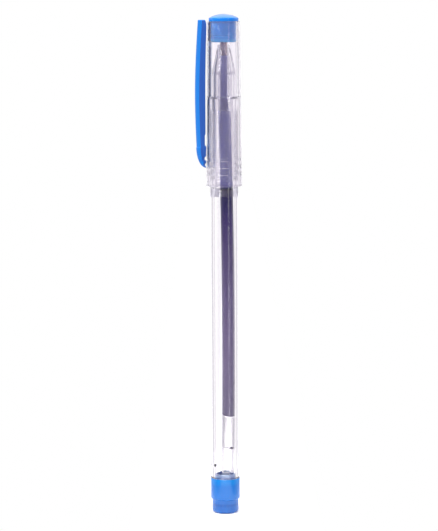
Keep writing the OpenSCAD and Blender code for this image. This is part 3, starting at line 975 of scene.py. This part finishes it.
# %% Soft pad over the point
pad_low, pad_high = span_mm("tip_seal")
PAD_R = pad_high.y
pad_corners = [(0, pad_low.z + 0.2), (0.35, pad_low.z + 0.18, 0.1), (0.6, pad_low.z, 0.1),
               (PAD_R, pad_low.z, 0.15), (PAD_R, pad_high.z - SEAM, 0.1), (0, pad_high.z - SEAM)]
pad = lathe("tip_pad", held(rounded(pad_corners, closed=False), closed=False), closed=False, sides=96)
hand_over(pad, "cap", "tip_seal", silicone)

# %% [markdown]
# ## The clip
# The clip is not round, so it is lofted: the same closed cross-section is drawn at many heights and joined
# up. Each cross-section has a flat inner face, flat sides and a crowned outer face that starts with a crisp
# edge. Three curves along the height set the inner face with its notches and bump, the outer face with its
# slow swell and round toe, and the width. The back is cored out and has the pocket for the cap's lug.

# %% Curves that shape the clip
CLIP_X = 5.0
CLIP_TOP_T = 2.6
CLIP_MID_T = 3.55
CLIP_MID_Z = 124.6
CLIP_BOW = 0.45
TOE_Z = 110.1
CROWN = 1.3
INNER_FACE = [(104.0, 0.35), (104.3, 0.35), (104.6, 0.65), (105.0, 0.65), (105.5, 0.32), (106.0, 0.32),
              (106.4, 0.75), (107.0, 0.75), (107.6, 0.32), (110.2, 0.27), (110.7, 0.65), (113.6, 0.65),
              (114.1, CLIP_BOW)]
BEVEL_Z = 146.2
BEVEL = 0.4
TOE_THINNING = 0.4
NARROW_Z = 109
NARROWING = 0.42


def along(curve, z):
    """Value of a curve of (height, value) at a height, eased between its points."""
    for (low_z, low_value), (high_z, high_value) in zip(curve, curve[1:]):
        if z <= high_z:
            part = max(0.0, (z - low_z) / (high_z - low_z))
            return low_value + (high_value - low_value) * part * part * (3 - 2 * part)
    return curve[-1][1]


def swell(z):
    """How much of the clip's swell is reached at a height: 0 at the top, 1 from its fullest height down."""
    return math.sin(math.pi / 2 * min(1.0, (clip_high.z - z) / (clip_high.z - CLIP_MID_Z)))


def inner_face(z):
    """How far the clip's inner face is from its inner plane."""
    if z <= INNER_FACE[-1][0]:
        return along(INNER_FACE, z)
    return max(CLIP_BOW * swell(z), BEVEL * (z - BEVEL_Z) / (clip_high.z - BEVEL_Z))


def outer_face(z):
    """How far the clip's outer face is from its inner plane."""
    if z >= CLIP_MID_Z:
        return CLIP_TOP_T + (CLIP_MID_T - CLIP_TOP_T) * swell(z)
    if z >= TOE_Z:
        part = (CLIP_MID_Z - z) / (CLIP_MID_Z - TOE_Z)
        return CLIP_MID_T - TOE_THINNING * part ** 1.7
    down = min(1.0, (TOE_Z - z) / (TOE_Z - clip_low.z))
    return 0.4 + (CLIP_MID_T - 0.7) * math.sqrt(max(0.0, 1 - down ** 2))


def clip_half_width(z):
    """Half the clip's width, narrower towards the toe."""
    down = min(1.0, max(0.0, (NARROW_Z - z) / (NARROW_Z - clip_low.z)))
    return clip_high.y * (1 - NARROWING * down ** 2)


# %% Clip cross-section
def clip_section(z, shrink):
    """Points of the closed cross-section at a height, pulled in by shrink to round the top."""
    inner = CLIP_X + inner_face(z) + shrink
    outer = CLIP_X + outer_face(z) - shrink
    half = clip_half_width(z) - shrink
    thick = max(0.05, outer - inner)
    crown = min(CROWN, 0.6 * thick)
    corner = min(0.15, 0.2 * thick)
    shape = [(inner, half - corner), (inner + 0.3 * corner, half - 0.3 * corner), (inner + corner, half),
             (outer - crown - 0.04, half), (outer - crown, half)]
    for step in range(1, 9):
        part = step / 8
        shape.append((outer - crown + crown * (1.385 * part + 0.23 * part ** 2 - 0.615 * part ** 3),
                      half * (1 - part)))
    mirrored = [(x, -y) for x, y in reversed(shape[:-1])]
    return [(-x, y, z) for x, y in shape + mirrored]


# %% Loft the clip
heights = [clip_low.z + 0.02 + 0.1 * step for step in range(105)]
heights += [heights[-1] + (146.6 - heights[-1]) * step / 30 for step in range(1, 31)]
heights += [146.8, 147.0, 147.15]
TOP_ROUND = 0.25
sections = [clip_section(z, 0.0) for z in heights]
for step in range(1, 7):
    turn = math.radians(15 * step)
    rise = clip_high.z - TOP_ROUND + TOP_ROUND * math.sin(turn)
    sections.append(clip_section(rise, TOP_ROUND * (1 - math.cos(turn))))
count = len(sections[0])
clip_faces = [(row * count + index, row * count + (index + 1) % count,
               (row + 1) * count + (index + 1) % count, (row + 1) * count + index)
              for row in range(len(sections) - 1) for index in range(count)]
clip_faces.append(tuple(range(count)))
clip_faces.append(tuple((len(sections) - 1) * count + index for index in reversed(range(count))))
clip = new_piece("clip_blue", [point for section in sections for point in section], clip_faces)
print(f"clip lofted through {len(sections)} cross-sections")

# %% Core out the clip's back
POCKET_HALF = LUG_WIDTH / 2 + 0.1
CORE_LOW_Z = 114.3
CORE_HIGH_Z = 139.3
combine(clip, block_tool((-CLIP_X - 2, -POCKET_HALF, CORE_LOW_Z), (-CLIP_X + 1, POCKET_HALF, CORE_HIGH_Z)))
combine(clip, block_tool((-CLIP_X - 1.5, -POCKET_HALF, LUG_Z - LUG_HEIGHT / 2 - 0.3),
                         (-CLIP_X + 1, POCKET_HALF, LUG_Z + LUG_HEIGHT / 2 + 0.3)))
combine(clip, pin_tool(PIP_R + 0.05, PIP_SPAN + 0.1, (PIP_X, 0, LUG_Z), (0, 1, 0), sides=32))
hand_over(clip, "clip", "clip", clip_blue)

# %% [markdown]
# ## The floor
# The pen stands on a long strip of white paper. A wide floor would be simpler, but then every clear wall
# would bend more white into view, and the pen would fade into it. Beside a narrow strip the walls catch the
# darker sides of the room, which draws their edges. The paper glows a little, which leaves next to no shadow
# at the foot, and its fine tooth keeps it from looking like a mirror.

# %% Floor
SHEET_HALF = 28
SHEET_FRONT = -130
SHEET_BACK = 1300
floor = new_piece("paper_floor", [(-SHEET_HALF, SHEET_FRONT, 0), (SHEET_HALF, SHEET_FRONT, 0),
                                  (SHEET_HALF, SHEET_BACK, 0), (-SHEET_HALF, SHEET_BACK, 0)], [(0, 1, 2, 3)])
paper, paper_tree, paper_shader = new_finish("paper_white")
tooth = place_group(paper_tree, moulded_skin, Wave_Size=40.0, Grain_Size=900.0, Grain_Share=0.8)
paper_tree.links.new(colour_mix(paper_tree, tooth["Flow"], (0.93, 0.93, 0.93), (0.96, 0.96, 0.96)),
                     paper_shader.inputs["Base Color"])
bump(paper_tree, paper_shader, tooth["Height"], 0.1, 0.05)
set_shader(paper_shader, Roughness=0.9, Emission_Color=(1, 1, 1), Emission_Strength=0.06)
floor.data.materials.append(paper)
floor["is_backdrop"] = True
print("floor laid")

# %% [markdown]
# ## Last settings
# Light has to pass up to a dozen clear walls, so it may bounce often. The colours are shown as they are,
# without a film look. The size of the dressed model is written down next to the engineering model's size.

# %% Settings and sizes
SCENE.cycles.max_bounces = 32
SCENE.cycles.transmission_bounces = 32
SCENE.cycles.glossy_bounces = 12
SCENE.cycles.transparent_max_bounces = 32
SCENE.view_settings.view_transform = "Standard"
look_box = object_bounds()
for corner_name, cad_corner, look_corner in zip(("low", "high"), cad_box, look_box):
    print(corner_name, "corner differs by", [round((a - b) / MM, 3) for a, b in zip(look_corner, cad_corner)])
